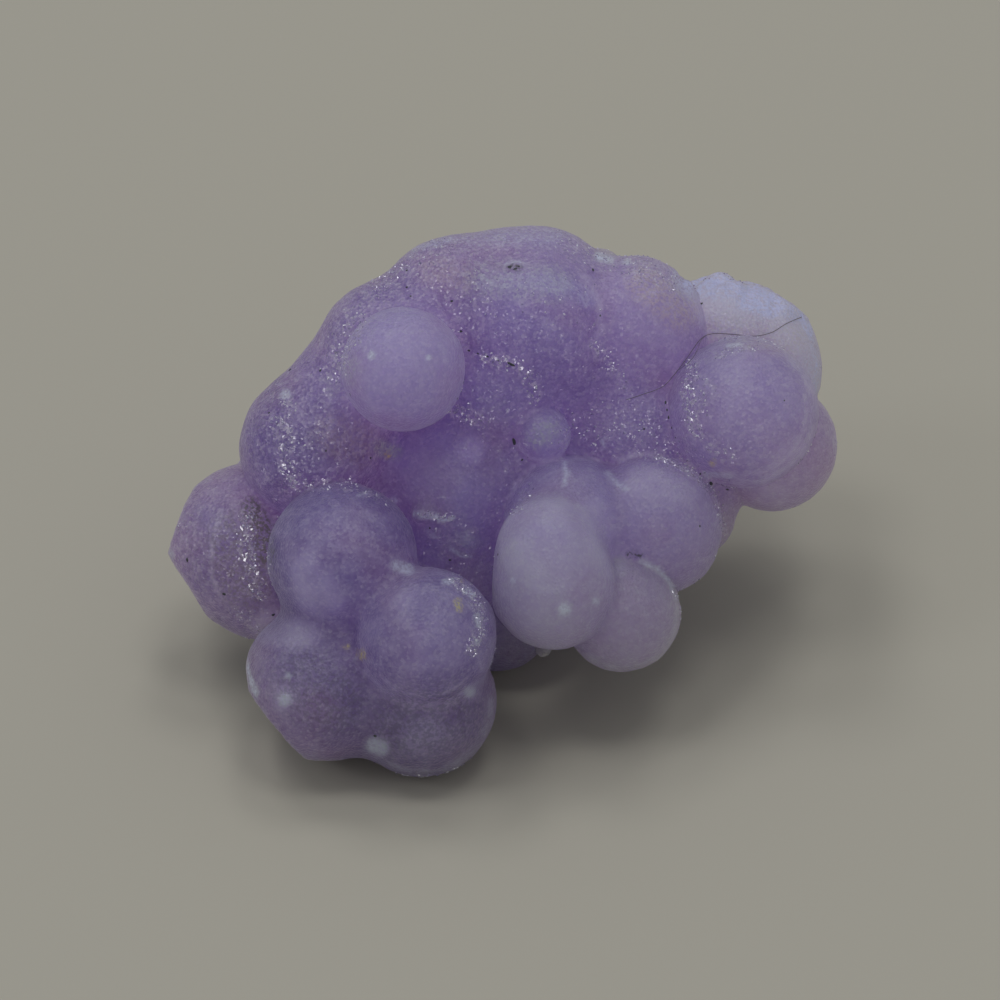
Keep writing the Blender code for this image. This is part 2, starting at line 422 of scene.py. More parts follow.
# Pale lines along the balls' edges. Most are painted rim light, standing in for light gathering at the
# edges of the translucent balls. Some, such as the inner arc on right_ball, are growth shells.
RIMS = [
    (arc(-3.85, 5.20, 2.44, -160, -60), 0.07, 0.40),
    (arc(-3.85, 5.20, 2.40, -40, 190), 0.09, 0.20),
    (arc(9.72, 3.52, 2.85, -95, 60), 0.15, 0.30),
    (arc(-2.95, -5.45, 2.74, -150, -5), 0.16, 0.28),
    (arc(1.88, -1.80, 1.95, 40, 190), 0.14, 0.25),
    (arc(1.72, 2.60, 1.05, 0, 360), 0.06, 0.35),
    ([(0.35, 0.05), (0.70, 0.70), (1.25, 1.25), (1.96, 1.60), (3.12, 1.70), (4.00, 1.55)], 0.10, 0.50),
    ([(4.50, 1.52), (5.20, 1.78), (5.94, 1.84), (7.16, 1.36), (7.90, 0.80)], 0.10, 0.50),
    (arc(2.15, -3.50, 2.38, 130, 280), 0.09, 0.35),
    ([(-11.10, -0.40), (-11.50, -1.60), (-11.55, -2.80), (-11.20, -4.20)], 0.08, 0.40),
    (arc(4.88, -4.52, 2.22, -130, 70), 0.12, 0.50),
    (arc(9.72, 3.52, 2.50, -110, 20), 0.07, 0.30),
    (arc(-2.95, -5.45, 2.30, -140, -40), 0.07, 0.30),
    (arc(-3.15, -8.00, 2.85, -120, 0), 0.16, 0.35),
    ([(3.32, 8.92), (3.92, 7.96), (4.04, 6.76), (3.52, 6.16)], 0.16, 0.30),
]
# Balls that show as paler discs through the ones they grew into, as (right, up, radius, strength).
DISCS = [
    (1.88, -1.80, 1.94, 0.50),
    (2.25, -3.70, 2.36, 0.25),
    (4.88, -4.52, 2.24, 0.12),
    (-2.95, -5.45, 2.74, 0.10),
    (9.72, 3.52, 2.86, 0.10),
]
DISC_EDGE = 0.20
HAZE = [
    ([(1.85, -1.60)], 0.90, 0.40),
    ([(-3.60, -4.30), (-2.20, -4.00)], 0.80, 0.25),
    # painted light: pales the crease between bunch_top, bunch_left and bunch_right, lifting its shade
    ([(3.60, -0.80), (4.30, -2.40)], 0.80, 0.60),
    ([(-7.80, -2.80), (-7.00, -4.00)], 0.80, 0.40),
    ([(-1.20, 2.00)], 0.50, 0.50),
    ([(5.60, 0.80), (7.40, 0.50)], 0.60, 0.45),
    ([(-9.30, -5.10), (-7.60, -5.40)], 0.60, 0.50),
    ([(-3.00, -9.40)], 0.80, 0.30),
    ([(8.60, 4.90), (10.60, 5.40)], 0.60, 0.12),
    ([(2.40, -3.60)], 1.10, 0.18),
    ([(5.00, -4.80)], 0.90, 0.18),
    ([(8.60, 8.20), (11.20, 7.80), (13.00, 6.00), (13.10, 5.10)], 1.00, 1.00),
    ([(11.80, 1.60), (11.20, 0.60)], 0.90, 0.30),
    ([(-8.52, -7.92)], 0.45, 0.50),
    ([(-1.20, -7.60)], 0.40, 0.50),
    ([(2.56, -4.32)], 0.45, 0.50),
    ([(-4.85, -9.80)], 0.50, 0.40),
]
FROST = [
    ([(7.80, 8.90), (9.60, 8.80), (11.00, 8.60), (12.00, 7.90)], 0.80, 0.7),
    ([(7.70, 8.95), (8.60, 8.80)], 0.35, 1.0),
    ([(9.00, 9.05), (9.90, 8.90)], 0.30, 0.9),
    ([(10.10, 8.20), (10.90, 7.95)], 0.65, 0.9),
    ([(12.30, 7.50), (12.60, 6.80)], 0.26, 1.0),
    ([(12.75, 6.60), (13.00, 5.60), (12.90, 4.60)], 0.40, 0.5),
    ([(-0.60, 8.70), (0.90, 8.80), (2.60, 8.50), (3.50, 8.00)], 0.35, 0.15),
    ([(-3.60, 10.20), (-2.20, 10.60)], 0.35, 0.35),
    ([(-1.40, 10.60), (2.20, 10.70)], 0.50, 0.14),
    ([(9.00, 7.30), (11.80, 6.90), (12.80, 5.60)], 0.80, 0.28),
]
SUGAR = [
    ([(-8.70, 3.00), (-8.50, 2.20)], 0.40, 0.9),
    ([(-8.50, 1.30), (-8.10, 0.70)], 0.30, 1.0),
    ([(-7.60, 2.40)], 0.40, 0.4),
    ([(-8.90, 4.20), (-8.30, 3.60)], 0.35, 0.5),
    ([(-1.65, 3.55), (-1.00, 3.20)], 0.34, 1.0),
    ([(-0.40, 3.05)], 0.25, 0.6),
    ([(-0.60, 5.65), (0.30, 5.50), (0.90, 5.20), (1.35, 4.50), (1.35, 4.00)], 0.20, 1.0),
    ([(7.70, 5.40), (7.45, 4.30), (7.60, 3.20), (7.90, 2.60)], 0.24, 1.0),
    ([(8.70, 5.75), (9.40, 6.05), (10.20, 6.05)], 0.14, 0.7),
    ([(8.10, 4.70), (8.00, 3.60)], 0.40, 0.35),
    ([(8.40, 2.10), (9.20, 1.70)], 0.25, 0.5),
    ([(-10.05, -0.60), (-10.20, -1.80), (-9.90, -3.10), (-9.70, -3.70)], 0.32, 1.0),
    ([(-13.0, -1.30), (-12.50, -1.00)], 0.20, 0.5),
    ([(-3.20, -0.55), (-2.60, -0.62), (-1.95, -0.72)], 0.14, 1.0),
    ([(-8.00, 0.45), (-6.60, 0.65), (-5.60, 0.55), (-4.80, 0.15)], 0.22, 0.6),
    ([(-1.75, -3.25), (-1.10, -3.65), (-0.80, -4.40), (-0.75, -5.20), (-1.10, -5.90)], 0.22, 1.0),
    ([(-5.80, 7.10), (-6.30, 6.00), (-6.60, 5.20)], 0.50, 0.6),
    ([(-4.80, 8.60), (-3.40, 9.60), (-2.00, 10.00)], 0.50, 0.45),
    ([(2.60, 2.80), (4.60, 3.30), (6.60, 2.20), (7.20, 1.80)], 0.80, 0.28),
    ([(3.70, 6.25), (3.95, 5.90)], 0.14, 1.0),
    ([(3.90, 6.10), (4.40, 5.30), (5.00, 4.60)], 0.30, 0.45),
    ([(-0.90, 8.60), (0.80, 8.30), (3.00, 8.00)], 0.90, 0.12),
    ([(2.60, 10.20), (5.20, 9.40), (6.80, 8.80)], 0.50, 0.4),
    ([(6.30, 1.75), (7.60, 1.20), (8.60, 0.20), (9.00, -1.20)], 0.16, 0.9),
    ([(0.60, -0.40), (1.20, 0.40)], 0.25, 0.4),
    ([(-10.40, -4.60), (-9.80, -5.20)], 0.30, 0.4),
]
# Dark grey marks. The narrow ones are dark patches in the skin, and the broad ones on the far left darken
# its tip. The two broad ones over front_corner and front_low are painted shade on the lower front balls,
# which face down, away from the ceiling panels.
SMUDGES_AND_SHADE = [
    ([(5.10, -2.20), (5.30, -2.12), (5.60, -2.25)], 0.10, 0.9),
    ([(-9.95, -0.30), (-9.45, -1.20), (-9.35, -2.20)], 0.40, 1.0),
    ([(-10.60, -1.60), (-10.20, -3.20)], 1.20, 0.42),
    ([(-12.00, -1.20), (-11.80, -2.80)], 0.90, 0.18),
    ([(-7.90, -7.20), (-6.60, -8.00)], 1.40, 0.34),
    ([(-3.60, -9.00), (-2.20, -8.60)], 1.60, 0.36),
    ([(0.40, 9.30), (0.72, 9.26)], 0.13, 1.0),
]
FILMS = [
    ([(-0.60, 8.80), (0.90, 8.75), (2.10, 8.65)], 0.75, 0.34),
    ([(1.50, 2.50), (1.90, 2.80)], 0.45, 0.40),
    ([(-4.80, 2.10), (-4.20, 1.90)], 0.30, 0.60),
    ([(-6.60, 4.60), (-6.00, 5.20)], 0.50, 0.25),
]
STAINS = [
    ([(-4.48, 1.80)], 0.12, 0.9),
    ([(-5.48, -6.12)], 0.18, 1.0),
    ([(-6.08, -5.84)], 0.12, 0.9),
    ([(-1.68, -4.00), (-1.60, -4.30)], 0.14, 0.9),
    ([(8.48, 1.48)], 0.14, 0.7),
    ([(-1.52, -3.20)], 0.10, 0.6),
    ([(5.80, 8.70), (7.20, 7.60)], 0.80, 0.25),
    ([(8.80, 7.00), (11.80, 6.40)], 0.60, 0.20),
    ([(-2.60, 9.20), (-1.60, 8.80)], 0.60, 0.12),
    ([(-10.40, -1.80), (-10.00, -3.40)], 1.20, 0.06),
    ([(-6.60, 2.60), (-5.60, 2.20)], 0.90, 0.12),
]


def surface_tree(mesh):
    """A mesh's faces, arranged so that rays can be cast at them."""
    corners = [vert.co for vert in mesh.vertices]
    return BVHTree.FromPolygons(corners, [face.vertices for face in mesh.polygons])


def seen_share(points, facing, tree):
    """1 where a point of the skin shows on the show face, and 0 where it is turned away or covered."""
    towards = Vector(to_frame((0, 0, 1)))
    off_the_skin = towards * (0.25 * MM)
    open_to_view = np.zeros(len(points))
    for index in np.flatnonzero(facing > 0.05):
        start = Vector(points[index] * MM) + off_the_skin
        open_to_view[index] = tree.ray_cast(start, towards)[0] is None
    return open_to_view * np.clip(facing * 2.5, 0, 1)


def store(mesh, name, values):
    """Keeps one value for each point of a mesh under a name that materials can read."""
    layer = mesh.attributes.new(name, "FLOAT", "POINT")
    layer.data.foreach_set("value", np.ascontiguousarray(values, np.float32))


# In millimetres: how softly one ball's tone gives way to the next one's, how wide a crease is, how
# deep a break is counted, and how far apart the frosted patches on the hidden sides are.
TONE_BLEND = 0.30
VALLEY_WIDTH = 0.55
BREAK_DEPTH = 0.06
HIDDEN_PATCH = 2.6


def describe_skin(mesh, stone):
    """Writes what the material and the druse need to know about each place on the skin."""
    points = points_of(mesh)
    show = to_show(points)
    normals = np.empty(len(points) * 3)
    mesh.vertices.foreach_get("normal", normals)
    facing = normals.reshape(-1, 3) @ to_frame((0, 0, 1))
    seen = seen_share(points, facing, surface_tree(mesh))

    balls = [ball for _, _, clump in stone for ball in clump]
    outside = np.stack([ball_distance(points, *ball[1:]) for ball in balls])
    nearest = np.sort(outside, axis=0)
    weights = np.exp(-np.clip(outside - nearest[0], 0, None) / TONE_BLEND)
    weights /= weights.sum(0)
    tones = np.array([BALL_TONES.get(name, OTHER_TONE) for name, _, _, _ in balls])
    paleness, pinkness, graininess = tones.T @ weights

    flat = show[:, :2]
    patches = np.clip(ripples(points, HIDDEN_PATCH, 3) * 2.2 - 0.35, 0, 1)
    # The valley share is highest in the creases between balls. The material uses it for painted light: a
    # pinker mauve in the creases, standing in for the light that scatters and bounces there.
    valley = np.exp(-np.clip(nearest[1], 0, None) / VALLEY_WIDTH)
    broken = np.clip(1.5 - points[:, 2] / BREAK_DEPTH, 0, 1)
    for _, centre, radius, chips in balls:
        own = np.abs(ball_distance(points, centre, radius, chips))
        for facing_way, off in chips:
            beyond = np.abs((points - centre) @ facing_way - off)
            broken = np.maximum(broken, np.clip(1.5 - beyond / BREAK_DEPTH, 0, 1) * (own < 0.1))

    store(mesh, "valley", valley)
    store(mesh, "paleness", paleness)
    store(mesh, "pinkness", pinkness)
    painted = {"bruise_and_glint": BRUISES_AND_GLINTS, "rim": RIMS, "smudge_and_shade": SMUDGES_AND_SHADE, "film": FILMS, "stain": STAINS}
    for name, marks in painted.items():
        store(mesh, name, marked(flat, marks) * seen)
    haze = marked(flat, HAZE)
    for right, up, radius, strength in DISCS:
        inside = (radius - np.hypot(flat[:, 0] - right, flat[:, 1] - up)) / DISC_EDGE
        haze = np.maximum(haze, strength * np.clip(inside + 0.5, 0, 1))
    store(mesh, "haze", haze * seen)
    hidden_frost = patches * 0.5 * (1 - seen) * np.clip(show[:, 1] / 6, 0, 1)
    store(mesh, "frost", np.maximum(marked(flat, FROST) * seen, hidden_frost))
    sugar = np.maximum(marked(flat, SUGAR) * seen, (1 - seen) * patches * 0.7)
    store(mesh, "sugar", sugar * (1 - broken))
    store(mesh, "glitter", np.maximum(sugar, graininess) * (1 - broken))
    store(mesh, "broken", broken)


# Heights, mm, of the unevenness that the whole skin has, and of what the frosted crust of the pale end
# has besides. Their sizes across are in millimetres too.
RIPPLE_SIZE, RIPPLE_HEIGHT = 1.4, 0.045
LUMP_SIZE, LUMP_HEIGHT = 0.5, 0.02
CRUST_SWELL_SIZE, CRUST_SWELL_HEIGHT = 1.1, 0.26
CRUST_LUMP_HEIGHT = 0.20


def grow_stone(stone):
    """The whole skin: laid on a fine grid, drawn onto the balls, and made slightly uneven."""
    mesh = mesh_with(lay_balls(stone), "REMESH", mode="VOXEL", voxel_size=SKIN_GRID * MM)
    put_points(mesh, settle(points_of(mesh), stone, 3))
    mesh = mesh_with(mesh, "SMOOTH", factor=0.5, iterations=2)
    points = settle(points_of(mesh), stone, 2)
    outward = slope_of(points, stone, skin_distance(points, stone))
    lumps = ripples(points, LUMP_SIZE, 2)
    swell = ripples(points, CRUST_SWELL_SIZE, 4)
    lift = RIPPLE_HEIGHT * ripples(points, RIPPLE_SIZE, 1) + LUMP_HEIGHT * lumps
    # The first frost mark is the crust. Skin under it that faces away from the viewer is left plain.
    crust = marked(to_show(points)[:, :2], FROST[:1]) * (outward @ to_frame((0, 0, 1)) > -0.3)
    lift += crust * (CRUST_LUMP_HEIGHT * lumps + CRUST_SWELL_HEIGHT * swell)
    lift *= np.clip(points[:, 2] / 0.5, 0, 1)
    put_points(mesh, points + lift[:, None] * outward)
    return mesh


stone_clumps = clumps()
stone_mesh = grow_stone(stone_clumps)
stone_mesh.name = "grown_chalcedony"
stone_mesh.shade_smooth()
describe_skin(stone_mesh, stone_clumps)
print("stone faces", len(stone_mesh.polygons))


def linear(hex_colour):
    """An sRGB hex colour as the linear colour that a shader socket takes."""
    found = []
    for place in (0, 2, 4):
        share = int(hex_colour[place : place + 2], 16) / 255
        found.append(share / 12.92 if share <= 0.04045 else ((share + 0.055) / 1.055) ** 2.4)
    return (*found, 1)


def add_node(tree, kind, settings):
    """Adds a node. Each setting is a property, or an input's value, or a socket that the input takes."""
    node = tree.nodes.new(kind)
    for name, value in settings.items():
        if isinstance(value, bpy.types.NodeSocket):
            tree.links.new(value, node.inputs[name])
        elif isinstance(name, int) or name in node.inputs:
            node.inputs[name].default_value = value
        else:
            setattr(node, name, value)
    return node


FACTOR, FIRST_COLOUR, SECOND_COLOUR, MIXED = 0, 6, 7, 2  # a colour Mix node's sockets

# Patterns through the stone: how far apart their patches are, mm, their detail and roughness, and the
# noise at which a patch starts and at which it is full.
PATTERNS = {
    "clouds": (2.2, 1, 0.55, 0.35, 0.65),
    "hues": (3.1, 1, 0.50, 0.45, 0.65),
    "mottle": (0.55, 2, 0.70, 0.35, 0.75),
    "specks": (0.16, 1, 0.70, 0.42, 0.58),
}
SKIN_ATTRIBUTES = [
    "paleness",
    "pinkness",
    "valley",
    "haze",
    "rim",
    "glitter",
    "frost",
    "bruise_and_glint",
    "film",
    "smudge_and_shade",
    "stain",
    "broken",
]
# The real quartz grains of the skin are a few hundredths of a millimetre, too fine to show. They are
# drawn at these sizes, in millimetres.
GRAIN_SIZE = 0.12
FACET_SIZE = 0.075
BODY_COLOURS = ("524180", "62528f")
# Tones laid over the body, in order: what each follows, its share by itself, the pattern that adds to
# that share and by how much, and its colour.
LAYERS = [
    ("paleness", 1.00, None, 0, "a496d7"),
    ("pinkness", 0.30, None, 0, "9a7fa6"),
    # painted light: the creases tinted pinker mauve, for light scattered and bounced in them
    ("valley", 0.40, None, 0, "8a75a6"),
    ("hues", 0.28, None, 0, "8d6d92"),
    ("haze", 0.40, "clouds", 1, "b8abe6"),
    # rim: painted rim light along the balls' edges, with a few growth shells
    ("rim", 0.35, "mottle", 1, "c2b9e2"),
    ("mottle", 0.28, None, 0, "b2a9d4"),
    ("bright_grain", 0.14, "glitter", 0.45, "d2cce4"),
    ("frost", 0.20, "crust", 1, "c5c8fa"),
    # bruise_and_glint: pale bruises, and painted glints on the ledge, bunch_top, right_ball and front_near
    ("bruise_and_glint", 0.50, "specks", 0.5, "d4d8f6"),
    ("film", 0.15, "grain", 1, "9aa3a6"),
    # smudge_and_shade: dark grey patches, and painted shade on the lower front balls
    ("smudge_and_shade", 0.20, "specks", 1, "4c4c58"),
    ("stain", 0.30, "specks", 1, "b4a582"),
    ("broken", 0.35, None, 0, "bcaec4"),
]


def blank_material(name):
    """A material with an empty tree, and the socket in it that gives the place on the piece."""
    material = bpy.data.materials.new(name)
    material.use_nodes = True
    tree = material.node_tree
    tree.nodes.clear()
    return material, tree, add_node(tree, "ShaderNodeTexCoord", {}).outputs["Object"]


def chalcedony():
    """Chalcedony, frosted by a skin of quartz grains and slightly translucent.

    Light sinks well into it and comes back purple, so the balls look lit from inside and their
    creases stay soft. The grains give a satin surface with tiny glints.
    """
    material, tree, place = blank_material("frosted_purple_chalcedony")
    noises = {}
    shares = {}
    for name, (size, detail, roughness, start, full) in PATTERNS.items():
        noises[name] = add_node(
            tree,
            "ShaderNodeTexNoise",
            {"Scale": 1 / (size * MM), "Detail": detail, "Roughness": roughness, "Vector": place},
        ).outputs["Fac"]
        shares[name] = add_node(
            tree, "ShaderNodeMapRange", {"From Min": start, "From Max": full, "Value": noises[name]}
        ).outputs["Result"]
    for name in SKIN_ATTRIBUTES:
        shares[name] = add_node(tree, "ShaderNodeAttribute", {"attribute_name": name}).outputs["Fac"]
    grains = add_node(
        tree, "ShaderNodeTexVoronoi", {"Scale": 1 / (GRAIN_SIZE * MM), "feature": "F1", "Vector": place}
    ).outputs
    grain = add_node(tree, "ShaderNodeSeparateColor", {"Color": grains["Color"]}).outputs["Red"]
    shares["grain"] = grain
    shares["bright_grain"] = add_node(
        tree, "ShaderNodeMath", {"operation": "POWER", 0: grain, 1: 3}
    ).outputs[0]
    shares["crust"] = add_node(
        tree, "ShaderNodeMath", {"operation": "MULTIPLY_ADD", 0: shares["specks"], 1: 0.6, 2: grain}
    ).outputs[0]

    body = add_node(
        tree,
        "ShaderNodeMix",
        {
            "data_type": "RGBA",
            FACTOR: shares["clouds"],
            FIRST_COLOUR: linear(BODY_COLOURS[0]),
            SECOND_COLOUR: linear(BODY_COLOURS[1]),
        },
    ).outputs[MIXED]
    laid = {}
    for name, alone, pattern, added, colour in LAYERS:
        strength = add_node(
            tree,
            "ShaderNodeMath",
            {"operation": "MULTIPLY_ADD", 0: shares.get(pattern, 0), 1: added, 2: alone},
        ).outputs[0]
        laid[name] = add_node(
            tree,
            "ShaderNodeMath",
            {"operation": "MULTIPLY", "use_clamp": True, 0: shares[name], 1: strength},
        ).outputs[0]
        body = add_node(
            tree,
            "ShaderNodeMix",
            {"data_type": "RGBA", FACTOR: laid[name], FIRST_COLOUR: body, SECOND_COLOUR: linear(colour)},
        ).outputs[MIXED]
    # Frost, bruises and the painted glints let less light sink into the stone.
    opaque = add_node(
        tree, "ShaderNodeMath", {"operation": "MAXIMUM", 0: laid["frost"], 1: laid["bruise_and_glint"]}
    ).outputs[0]
    translucent = add_node(
        tree, "ShaderNodeMath", {"operation": "MULTIPLY_ADD", 0: opaque, 1: -0.7, 2: 1.0}
    ).outputs[0]

    grain_bump = add_node(
        tree, "ShaderNodeBump", {"Strength": 0.8, "Distance": 0.05 * MM, "Height": grains["Distance"]}
    ).outputs["Normal"]
    bump = add_node(
        tree,
        "ShaderNodeBump",
        {"Strength": 0.6, "Distance": 0.06 * MM, "Height": noises["mottle"], "Normal": grain_bump},
    ).outputs["Normal"]

    # Crystal faces in the skin: each leans its own way, and fewer than half of them flash.
    facets = add_node(
        tree, "ShaderNodeTexVoronoi", {"Scale": 1 / (FACET_SIZE * MM), "feature": "F1", "Vector": place}
    ).outputs["Color"]
    lean = add_node(
        tree, "ShaderNodeVectorMath", {"operation": "SUBTRACT", 0: facets, 1: (0.5, 0.5, 0.0)}
    ).outputs[0]
    lean = add_node(tree, "ShaderNodeVectorMath", {"operation": "SCALE", "Scale": 1.3, 0: lean}).outputs[0]
    upright = add_node(tree, "ShaderNodeNewGeometry", {}).outputs["Normal"]
    leaning = add_node(
        tree, "ShaderNodeVectorMath", {"operation": "ADD", 0: upright, 1: lean}
    ).outputs[0]
    facet_way = add_node(
        tree, "ShaderNodeVectorMath", {"operation": "NORMALIZE", 0: leaning}
    ).outputs[0]
    which = add_node(tree, "ShaderNodeSeparateColor", {"Color": facets}).outputs["Green"]
    flashes = add_node(
        tree, "ShaderNodeMath", {"operation": "GREATER_THAN", 0: which, 1: 0.55}
    ).outputs[0]
    glints = add_node(
        tree, "ShaderNodeMath", {"operation": "MULTIPLY_ADD", 0: shares["glitter"], 1: 1.4, 2: 0.01}
    ).outputs[0]
    glints = add_node(tree, "ShaderNodeMath", {"operation": "MULTIPLY", 0: glints, 1: flashes}).outputs[0]

    shader = add_node(
        tree,
        "ShaderNodeBsdfPrincipled",
        {
            "Base Color": body,
            "Roughness": 0.40,
            "IOR": 1.54,
            "Normal": bump,
            "Subsurface Weight": translucent,
            "Subsurface Radius": (1.0, 0.8, 1.0),
            "Subsurface Scale": 35.0 * MM,
            "Sheen Weight": 0.16,
            "Sheen Roughness": 0.35,
            "Sheen Tint": linear("e2deff"),
            "Coat Weight": glints,
            "Coat Roughness": 0.12,
            "Coat IOR": 2.1,
            "Coat Normal": facet_way,
        },
    ).outputs["BSDF"]
    add_node(tree, "ShaderNodeOutputMaterial", {"Surface": shader})
    return material


stone_mesh.materials.clear()
stone_mesh.materials.append(chalcedony())
stone = bpy.data.objects.new("grown_chalcedony", stone_mesh)
bpy.context.scene.collection.objects.link(stone)
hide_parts("chalcedony_cluster")
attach(stone, "root")

# The druse
# Tiny quartz points that grew last, on the balls' skin and in the creases between them. They are
# clear or milky, with flat faces, and each one flashes as the stone is turned.

CRYSTAL_WIDTH = 0.13
CRYSTALS_PER_MM2 = 42
# A crystal's radius and length, and how far its foot stands above the skin, as shares of its width.
CRYSTAL_SHARES = {"radius": 0.5, "length": 0.8, "rise": -0.34}
CRYSTAL_SIDES = 6
CRYSTAL_LEAN = 0.65
SMALLEST_CRYSTAL, LARGEST_CRYSTAL = 0.30, 1.20


def druse_tree(material):
    """Scatters six-sided points over a surface, as densely as its sugar attribute says."""
    tree = bpy.data.node_groups.new("scatter_quartz_points", "GeometryNodeTree")
    sockets = tree.interface
    sockets.new_socket("Stone", in_out="INPUT", socket_type="NodeSocketGeometry")
    sockets.new_socket("Crystal width", in_out="INPUT", socket_type="NodeSocketFloat")
    sockets.new_socket("Crystals per square metre", in_out="INPUT", socket_type="NodeSocketFloat")
    sockets.new_socket("Points", in_out="OUTPUT", socket_type="NodeSocketGeometry")
    given = add_node(tree, "NodeGroupInput", {}).outputs

    sugar = add_node(
        tree, "GeometryNodeInputNamedAttribute", {"data_type": "FLOAT", "Name": "sugar"}
    ).outputs["Attribute"]
    density = add_node(
        tree, "ShaderNodeMath", {"operation": "MULTIPLY", 0: sugar, 1: given["Crystals per square metre"]}
    ).outputs[0]
    spread = add_node(
        tree,
        "GeometryNodeDistributePointsOnFaces",
        {"distribute_method": "RANDOM", "Seed": 7, "Mesh": given["Stone"], "Density": density},
    ).outputs

    size = {}
    for name, share in CRYSTAL_SHARES.items():
        size[name] = add_node(
            tree, "ShaderNodeMath", {"operation": "MULTIPLY", 0: given["Crystal width"], 1: share}
        ).outputs[0]
    crystal = add_node(
        tree,
        "GeometryNodeMeshCone",
        {
            "fill_type": "NGON",
            "Vertices": CRYSTAL_SIDES,
            "Radius Bottom": size["radius"],
            "Depth": size["length"],
        },
    ).outputs["Mesh"]
    rise = add_node(tree, "ShaderNodeCombineXYZ", {"Z": size["rise"]}).outputs["Vector"]
    crystal = add_node(
        tree, "GeometryNodeTransform", {"Geometry": crystal, "Translation": rise}
    ).outputs["Geometry"]
    crystal = add_node(
        tree, "GeometryNodeSetShadeSmooth", {"Shade Smooth": False, "Geometry": crystal}
    ).outputs["Geometry"]

    lean = add_node(
        tree,
        "FunctionNodeRandomValue",
        {
            "data_type": "FLOAT_VECTOR",
            0: (-CRYSTAL_LEAN, -CRYSTAL_LEAN, 0.0),
            1: (CRYSTAL_LEAN, CRYSTAL_LEAN, 6.28),
            "Seed": 11,
        },
    ).outputs[0]
    lean = add_node(tree, "FunctionNodeEulerToRotation", {0: lean}).outputs[0]
    way = add_node(
        tree,
        "FunctionNodeRotateRotation",
        {"rotation_space": "LOCAL", 0: spread["Rotation"], 1: lean},
    ).outputs[0]
    scale = add_node(
        tree,
        "FunctionNodeRandomValue",
        {"data_type": "FLOAT", 2: SMALLEST_CRYSTAL, 3: LARGEST_CRYSTAL, "Seed": 23},
    ).outputs[1]
    grown = add_node(
        tree,
        "GeometryNodeInstanceOnPoints",
        {"Points": spread["Points"], "Instance": crystal, "Rotation": way, "Scale": scale},
    ).outputs["Instances"]
    real = add_node(tree, "GeometryNodeRealizeInstances", {"Geometry": grown}).outputs["Geometry"]
    finished = add_node(
        tree, "GeometryNodeSetMaterial", {"Material": material, "Geometry": real}
    ).outputs["Geometry"]
    add_node(tree, "NodeGroupOutput", {"Points": finished})
    return tree


def quartz():
    """Clear quartz in points too small to see into, some milky, with glassy faces that flash."""
    material, tree, place = blank_material("clear_quartz_druse")
    clouds = add_node(
        tree, "ShaderNodeTexNoise", {"Scale": 1 / (0.14 * MM), "Detail": 1, "Vector": place}
    ).outputs["Fac"]
    milky = add_node(
        tree, "ShaderNodeMapRange", {"From Min": 0.50, "From Max": 0.62, "Value": clouds}
    ).outputs["Result"]
    clear = linear("9085b0")
    milk = linear("f4f4ff")
    body = add_node(
        tree,
        "ShaderNodeMix",
        {"data_type": "RGBA", FACTOR: milky, FIRST_COLOUR: clear, SECOND_COLOUR: milk},
    ).outputs[MIXED]
    shader = add_node(
        tree,
        "ShaderNodeBsdfPrincipled",
        {
            "Base Color": body,
            "Roughness": 0.10,
            "IOR": 1.544,
            "Coat Weight": 1.0,
            "Coat Roughness": 0.06,
            "Coat IOR": 2.2,
        },
    ).outputs["BSDF"]
    add_node(tree, "ShaderNodeOutputMaterial", {"Surface": shader})
    return material


def scatter_druse(mesh, width, per_mm2):
    """The druse as a plain mesh of its own."""
    helper = bpy.data.objects.new("helper", mesh)
    bpy.context.scene.collection.objects.link(helper)
    modifier = helper.modifiers.new("Druse", "NODES")
    modifier.node_group = druse_tree(quartz())
    wanted = {"Crystal width": width * MM, "Crystals per square metre": per_mm2 / MM**2}
    for item in modifier.node_group.interface.items_tree:
        if item.name in wanted:
            modifier[item.identifier] = wanted[item.name]
    graph = bpy.context.evaluated_depsgraph_get()
    made = bpy.data.meshes.new_from_object(helper.evaluated_get(graph))
    bpy.data.objects.remove(helper)
    return made


druse_mesh = scatter_druse(stone_mesh, CRYSTAL_WIDTH, CRYSTALS_PER_MM2)
druse_mesh.name = "quartz_druse"
print("druse faces", len(druse_mesh.polygons))
druse = bpy.data.objects.new("quartz_druse", druse_mesh)
bpy.context.scene.collection.objects.link(druse)
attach(druse, "root")

# Dirt
# Dark grains of clay and rock that sit in the creases and on the balls, each a fraction of a
# millimetre across. They stay because the specimen hasn't been cleaned.

